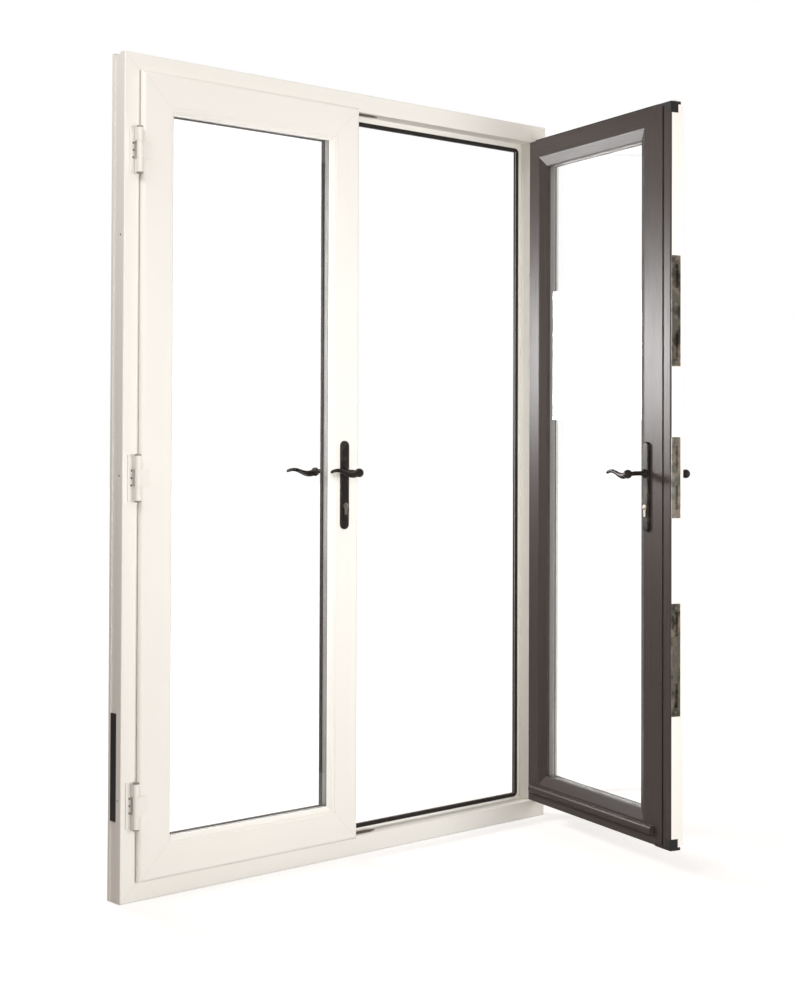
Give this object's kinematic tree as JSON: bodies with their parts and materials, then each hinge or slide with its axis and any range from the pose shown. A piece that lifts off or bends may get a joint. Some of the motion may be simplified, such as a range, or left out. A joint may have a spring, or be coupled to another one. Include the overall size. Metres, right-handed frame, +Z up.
{
  "type": "double patio door",
  "caption": "Glazed plastic double door in a mitred outer frame, with lever handles, flag hinges and a false mullion, one leaf standing open into the room.",
  "frame": {"origin": "middle of the bottom frame member's underside, at half the frame's depth", "axes": "+X along the frame's width towards the open leaf's jamb, +Y from the room to the exterior, +Z up"},
  "size_m": [1.525, 0.8496, 2.09],
  "materials": {
    "white_plastic": "smooth white extruded plastic, satin; dark foil on the exterior face",
    "glass": "clear float glass",
    "spacer": "grey warm-edge spacer bar",
    "black_rubber": "matt black seal",
    "black_plastic": "moulded black plastic",
    "dark_bronze": "dark bronze coat, satin",
    "zinc_steel": "zinc-plated steel",
    "nickel": "satin nickel"
  },
  "bodies": {
    "frame": {"left_jamb": "white_plastic", "right_jamb": "white_plastic", "head": "white_plastic", "threshold": "white_plastic", "frame_gasket": "black_rubber", "jamb_packer": "black_plastic", "bolt_keeps": "zinc_steel", "left_hinge_frame_flags": "white_plastic", "right_hinge_frame_flags": "white_plastic"},
    "left_leaf": {"left_hinge_stile": "white_plastic", "left_lock_stile": "white_plastic", "left_top_rail": "white_plastic", "left_bottom_rail": "white_plastic", "left_beads": "white_plastic", "left_glass": "glass", "left_spacer": "spacer", "left_glazing_seal": "black_rubber", "left_hinge_leaf_flags": "white_plastic", "left_room_plate": "dark_bronze", "left_outer_plate": "dark_bronze", "left_cylinder": "nickel", "left_lock_faceplate": "zinc_steel", "left_meeting_seal": "black_rubber"},
    "right_leaf": {"right_hinge_stile": "white_plastic", "right_lock_stile": "white_plastic", "right_top_rail": "white_plastic", "right_bottom_rail": "white_plastic", "right_beads": "white_plastic", "right_glass": "glass", "right_spacer": "spacer", "right_glazing_seal": "black_rubber", "right_hinge_leaf_flags": "white_plastic", "right_room_plate": "dark_bronze", "right_outer_plate": "dark_bronze", "right_cylinder": "nickel", "right_false_mullion": "white_plastic", "right_mullion_caps": "black_plastic", "right_keep_lower": "zinc_steel", "right_keep_middle": "zinc_steel", "right_keep_upper": "zinc_steel"},
    "left_levers": {"left_room_lever": "dark_bronze", "left_outer_lever": "dark_bronze"},
    "right_levers": {"right_room_lever": "dark_bronze", "right_outer_lever": "dark_bronze"}
  },
  "joints": [
    {"name": "left_leaf_swing", "type": "hinge", "parent": "frame", "child": "left_leaf", "pos_m": [-0.7315, -0.052, 1.045], "axis": [0, 0, -1], "range_deg": [0, 100]},
    {"name": "right_leaf_swing", "type": "hinge", "parent": "frame", "child": "right_leaf", "pos_m": [0.7315, -0.052, 1.045], "axis": [0, 0, 1], "range_deg": [-74, 26]},
    {"name": "left_lever_turn", "type": "hinge", "parent": "left_leaf", "child": "left_levers", "pos_m": [-0.061, -0.017, 1.049], "axis": [0, 1, 0], "range_deg": [-40, 45], "stiffness_Nm_per_rad": 4},
    {"name": "right_lever_turn", "type": "hinge", "parent": "right_leaf", "child": "right_levers", "pos_m": [0.52131, -0.65804, 1.049], "axis": [0.9613, -0.2756, 0], "range_deg": [-40, 45], "stiffness_Nm_per_rad": 4}
  ]
}
